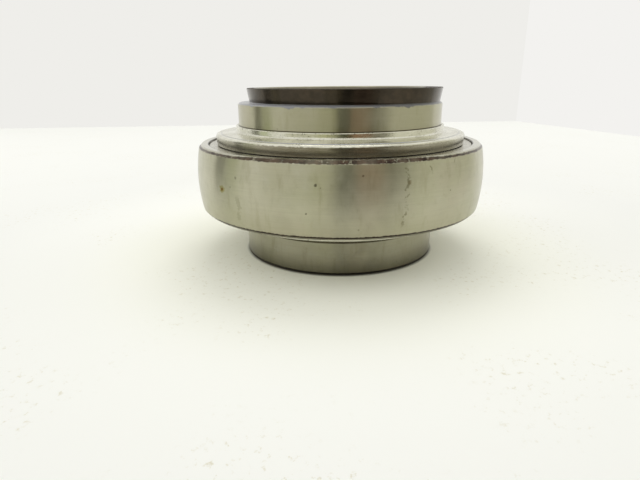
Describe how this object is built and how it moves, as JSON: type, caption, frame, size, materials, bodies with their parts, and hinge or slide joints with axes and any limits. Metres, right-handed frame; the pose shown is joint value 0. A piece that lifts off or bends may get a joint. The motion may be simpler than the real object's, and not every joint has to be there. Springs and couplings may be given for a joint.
{
  "type": "insert bearing",
  "caption": "Insert ball bearing with a spherical outer seat, a wide inner ring with an eccentric cam for a locking collar, pressed flingers and seals.",
  "frame": {"origin": "centre of the shaft bore in the plane of the plain end face, which the bearing stands on", "axes": "+Z along the shaft bore from the plain end to the cam; +X towards the high side of the eccentric cam"},
  "size_m": [0.09, 0.09, 0.0506],
  "materials": {
    "outer_ring_steel": "ground bearing steel with fine lathe lines, stained chamfers",
    "inner_ring_steel": "ground bearing steel, dark heat scale on the cam",
    "flinger_steel": "bright pressed sheet steel",
    "cap_steel": "plain pressed sheet steel",
    "lip_rubber": "matt black nitrile rubber",
    "cage_steel": "pressed sheet steel",
    "rivet_steel": "headed steel wire",
    "ball_steel": "polished ball steel"
  },
  "bodies": {
    "inner": {"inner_ring": "inner_ring_steel", "flinger_cam_side": "flinger_steel", "flinger_plain_side": "flinger_steel"},
    "outer": {"outer_ring": "outer_ring_steel", "seal_cap_cam_side": "cap_steel", "seal_cap_plain_side": "cap_steel", "seal_lip_cam_side": "lip_rubber", "seal_lip_plain_side": "lip_rubber"},
    "cage": {"cage_half_cam_side": "cage_steel", "cage_half_plain_side": "cage_steel", "cage_rivets": "rivet_steel"},
    "ball_01": {"ball_01": "ball_steel"},
    "ball_02": {"ball_02": "ball_steel"},
    "ball_03": {"ball_03": "ball_steel"},
    "ball_04": {"ball_04": "ball_steel"},
    "ball_05": {"ball_05": "ball_steel"},
    "ball_06": {"ball_06": "ball_steel"},
    "ball_07": {"ball_07": "ball_steel"},
    "ball_08": {"ball_08": "ball_steel"},
    "ball_09": {"ball_09": "ball_steel"},
    "ball_10": {"ball_10": "ball_steel"}
  },
  "joints": [
    {"name": "outer_spin", "type": "hinge", "parent": "inner", "child": "outer", "pos_m": [0, 0, 0.0246], "axis": [0, 0, 1], "continuous": true},
    {"name": "cage_orbit", "type": "hinge", "parent": "inner", "child": "cage", "pos_m": [0, 0, 0.0246], "axis": [0, 0, 1], "continuous": true},
    {"name": "ball_01_spin", "type": "hinge", "parent": "cage", "child": "ball_01", "pos_m": [0.035, 0, 0.0246], "axis": [0, 0, 1], "continuous": true},
    {"name": "ball_02_spin", "type": "hinge", "parent": "cage", "child": "ball_02", "pos_m": [0.02832, 0.02057, 0.0246], "axis": [0, 0, 1], "continuous": true},
    {"name": "ball_03_spin", "type": "hinge", "parent": "cage", "child": "ball_03", "pos_m": [0.01082, 0.03329, 0.0246], "axis": [0, 0, 1], "continuous": true},
    {"name": "ball_04_spin", "type": "hinge", "parent": "cage", "child": "ball_04", "pos_m": [-0.01082, 0.03329, 0.0246], "axis": [0, 0, 1], "continuous": true},
    {"name": "ball_05_spin", "type": "hinge", "parent": "cage", "child": "ball_05", "pos_m": [-0.02832, 0.02057, 0.0246], "axis": [0, 0, 1], "continuous": true},
    {"name": "ball_06_spin", "type": "hinge", "parent": "cage", "child": "ball_06", "pos_m": [-0.035, 0, 0.0246], "axis": [0, 0, 1], "continuous": true},
    {"name": "ball_07_spin", "type": "hinge", "parent": "cage", "child": "ball_07", "pos_m": [-0.02832, -0.02057, 0.0246], "axis": [0, 0, 1], "continuous": true},
    {"name": "ball_08_spin", "type": "hinge", "parent": "cage", "child": "ball_08", "pos_m": [-0.01082, -0.03329, 0.0246], "axis": [0, 0, 1], "continuous": true},
    {"name": "ball_09_spin", "type": "hinge", "parent": "cage", "child": "ball_09", "pos_m": [0.01082, -0.03329, 0.0246], "axis": [0, 0, 1], "continuous": true},
    {"name": "ball_10_spin", "type": "hinge", "parent": "cage", "child": "ball_10", "pos_m": [0.02832, -0.02057, 0.0246], "axis": [0, 0, 1], "continuous": true}
  ],
  "couplings": [
    {"joint": "cage_orbit", "follows": "outer_spin", "ratio": 0.59071},
    {"joint": "ball_01_spin", "follows": "outer_spin", "ratio": 2.6652},
    {"joint": "ball_02_spin", "follows": "outer_spin", "ratio": 2.6652},
    {"joint": "ball_03_spin", "follows": "outer_spin", "ratio": 2.6652},
    {"joint": "ball_04_spin", "follows": "outer_spin", "ratio": 2.6652},
    {"joint": "ball_05_spin", "follows": "outer_spin", "ratio": 2.6652},
    {"joint": "ball_06_spin", "follows": "outer_spin", "ratio": 2.6652},
    {"joint": "ball_07_spin", "follows": "outer_spin", "ratio": 2.6652},
    {"joint": "ball_08_spin", "follows": "outer_spin", "ratio": 2.6652},
    {"joint": "ball_09_spin", "follows": "outer_spin", "ratio": 2.6652},
    {"joint": "ball_10_spin", "follows": "outer_spin", "ratio": 2.6652}
  ]
}
